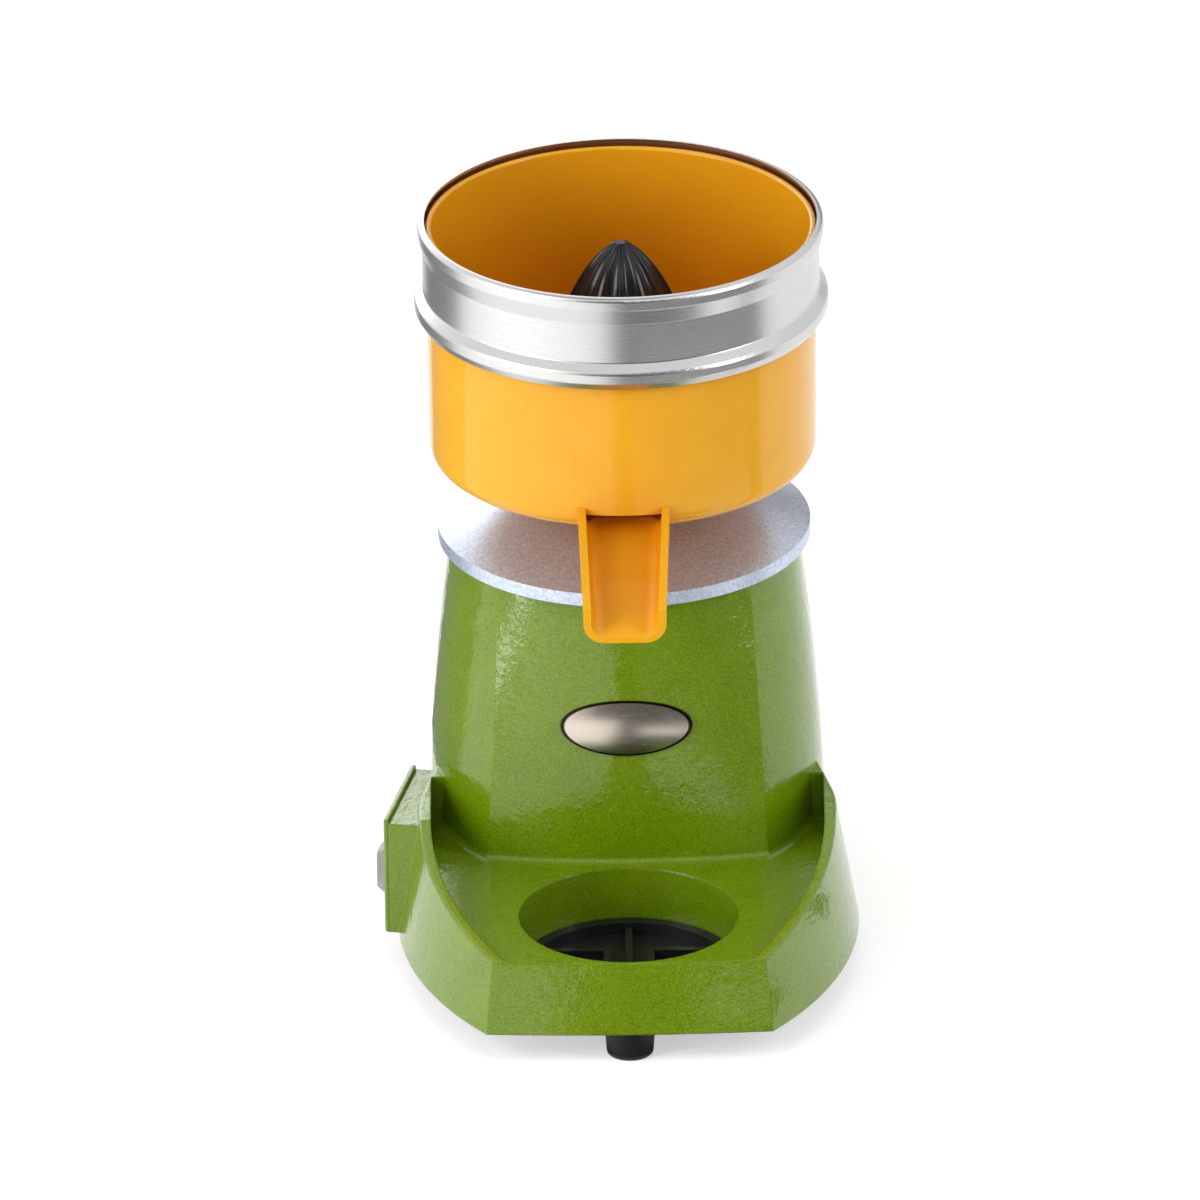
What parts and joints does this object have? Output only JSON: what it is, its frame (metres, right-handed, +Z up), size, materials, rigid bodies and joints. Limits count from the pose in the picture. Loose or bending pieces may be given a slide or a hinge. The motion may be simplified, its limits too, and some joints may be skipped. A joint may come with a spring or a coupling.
{
  "type": "electric citrus juicer",
  "caption": "Motor-driven citrus juicer: cast housing with a cup recess, drip flange, plastic bowl with spout, splash ring, strainer and ribbed reamer.",
  "frame": {"origin": "on the counter, under the middle of the outline's bounding box", "axes": "+Z up, -Y towards the spout and the cup recess (the front), +X to the right as seen from the front"},
  "size_m": [0.2341, 0.3186, 0.35],
  "materials": {
    "green_enamel": "satin sprayed enamel on a cast shell",
    "black_plastic": "fine moulded grain",
    "rubber": "matt",
    "zinc_steel": "zinc plated",
    "cast_aluminium": "turned, lightly satin",
    "spun_aluminium": "spun and brushed",
    "orange_plastic": "glossy moulded",
    "white_plastic": "glossy moulded",
    "smoke_plastic": "dark translucent, polished",
    "clear_boot": "soft, cloudy",
    "bright_steel": "ground",
    "lamination": "laminated sheets",
    "copper": "varnished copper wire",
    "gland_plastic": "moulded",
    "capacitor_shell": "moulded"
  },
  "bodies": {
    "housing": {"housing": "green_enamel", "base_plate": "black_plastic", "front_foot": "rubber", "rear_foot_right": "rubber", "rear_foot_left": "rubber", "foot_screws": "zinc_steel", "base_plate_screws": "zinc_steel", "top_flange": "cast_aluminium", "flange_screws": "zinc_steel", "shaft_seal": "rubber", "upper_bearing_outer": "bright_steel", "lower_bearing_outer": "bright_steel", "upper_bracket": "cast_aluminium", "lower_bracket": "cast_aluminium", "wave_washer": "zinc_steel", "stator_core": "lamination", "stator_windings": "copper", "tie_rods": "zinc_steel", "badge": "spun_aluminium", "switch_plate": "green_enamel", "switch_plate_screws": "zinc_steel", "switch_body": "black_plastic", "switch_boot": "clear_boot", "cable_gland": "gland_plastic", "capacitor": "capacitor_shell", "capacitor_strap": "zinc_steel", "terminal_block": "black_plastic"},
    "rotor": {"drive_shaft": "bright_steel", "drive_pin": "bright_steel", "shaft_clip": "zinc_steel", "upper_bearing_inner": "bright_steel", "lower_bearing_inner": "bright_steel", "rotor_core": "lamination", "cooling_fan": "black_plastic"},
    "reamer": {"reamer": "smoke_plastic"},
    "bowl": {"bowl": "orange_plastic"},
    "strainer": {"strainer": "white_plastic"},
    "splash_ring": {"splash_ring": "spun_aluminium"},
    "rocker": {"rocker": "black_plastic"}
  },
  "joints": [
    {"name": "rotor_spin", "type": "hinge", "parent": "housing", "child": "rotor", "pos_m": [0.00439, 0.05792, 0.2], "axis": [0, 0, 1], "continuous": true},
    {"name": "reamer_lift", "type": "slide", "parent": "rotor", "child": "reamer", "axis": [0, 0, 1], "range_m": [0, 0.15]},
    {"name": "bowl_lift", "type": "slide", "parent": "housing", "child": "bowl", "axis": [0, 0, 1], "range_m": [0, 0.08]},
    {"name": "strainer_lift", "type": "slide", "parent": "bowl", "child": "strainer", "axis": [0, 0, 1], "range_m": [0, 0.05]},
    {"name": "ring_lift", "type": "slide", "parent": "bowl", "child": "splash_ring", "axis": [0, 0, 1], "range_m": [0, 0.06]},
    {"name": "rocker_tilt", "type": "hinge", "parent": "housing", "child": "rocker", "pos_m": [-0.1068, -0.01845, 0.0405], "axis": [-0.2079, -0.9781, 0], "range_deg": [-16, 0]}
  ],
  "couplings": [
    {"joint": "bowl_lift", "follows": "reamer_lift", "ratio": 0.5},
    {"joint": "strainer_lift", "follows": "reamer_lift", "ratio": 0.3}
  ]
}
